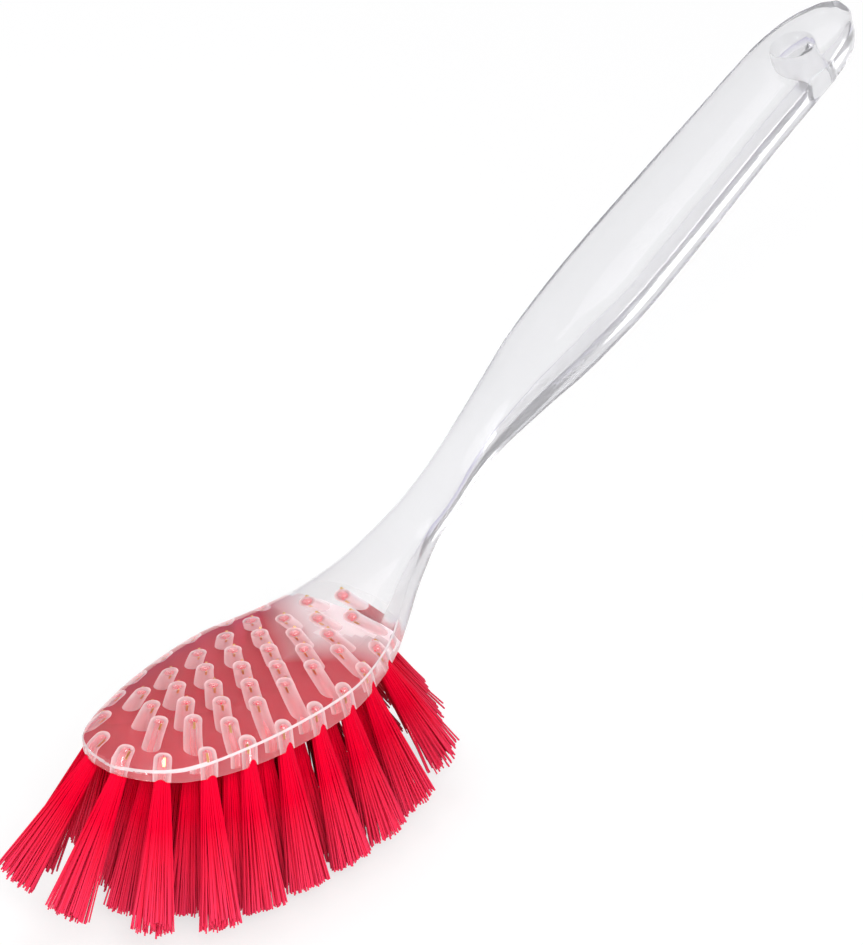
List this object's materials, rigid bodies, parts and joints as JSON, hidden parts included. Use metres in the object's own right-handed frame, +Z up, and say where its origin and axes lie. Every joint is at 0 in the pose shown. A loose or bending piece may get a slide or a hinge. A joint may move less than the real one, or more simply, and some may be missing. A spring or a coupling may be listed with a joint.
{
  "type": "dish brush",
  "caption": "Dish brush: clear moulded handle and oval head in a single piece, splayed bristle tufts set in blind holes over flat wire anchors, and a hang hole in the rounded end of the grip.",
  "frame": {"origin": "level with the lowest bristle ends, under the middle of the whole brush", "axes": "+X runs from the tip of the head to the hang-hole end, +Z points up out of the back of the head, away from the bristles, and Y is across"},
  "size_m": [0.2573, 0.0508, 0.1002],
  "materials": {
    "clear_plastic": "clear and polished, with slightly frosted tuft holes",
    "red_nylon": "glossy filaments, paler at the trimmed ends",
    "brass_wire": "plain flat wire"
  },
  "bodies": {
    "root": {"anchor_staples": "brass_wire", "handle_and_head": "clear_plastic", "tuft_far_row1_01": "red_nylon", "tuft_far_row1_02": "red_nylon", "tuft_far_row1_03": "red_nylon", "tuft_far_row1_04": "red_nylon", "tuft_far_row1_05": "red_nylon", "tuft_far_row1_06": "red_nylon", "tuft_far_row1_07": "red_nylon", "tuft_far_row2_01": "red_nylon", "tuft_far_row2_02": "red_nylon", "tuft_far_row2_03": "red_nylon", "tuft_far_row2_04": "red_nylon", "tuft_far_row2_05": "red_nylon", "tuft_middle_row_01": "red_nylon", "tuft_middle_row_02": "red_nylon", "tuft_middle_row_03": "red_nylon", "tuft_middle_row_04": "red_nylon", "tuft_middle_row_05": "red_nylon", "tuft_middle_row_06": "red_nylon", "tuft_middle_row_07": "red_nylon", "tuft_middle_row_08": "red_nylon", "tuft_near_row1_01": "red_nylon", "tuft_near_row1_02": "red_nylon", "tuft_near_row1_03": "red_nylon", "tuft_near_row1_04": "red_nylon", "tuft_near_row1_05": "red_nylon", "tuft_near_row1_06": "red_nylon", "tuft_near_row1_07": "red_nylon", "tuft_near_row2_01": "red_nylon", "tuft_near_row2_02": "red_nylon", "tuft_near_row2_03": "red_nylon", "tuft_near_row2_04": "red_nylon", "tuft_near_row2_05": "red_nylon", "tuft_rim_far_01": "red_nylon", "tuft_rim_far_02": "red_nylon", "tuft_rim_far_03": "red_nylon", "tuft_rim_far_04": "red_nylon", "tuft_rim_far_05": "red_nylon", "tuft_rim_far_06": "red_nylon", "tuft_rim_far_07": "red_nylon", "tuft_rim_far_08": "red_nylon", "tuft_rim_near_01": "red_nylon", "tuft_rim_near_02": "red_nylon", "tuft_rim_near_03": "red_nylon", "tuft_rim_near_04": "red_nylon", "tuft_rim_near_05": "red_nylon", "tuft_rim_near_06": "red_nylon", "tuft_rim_near_07": "red_nylon", "tuft_rim_near_08": "red_nylon", "tuft_rim_tip": "red_nylon"}
  },
  "joints": []
}
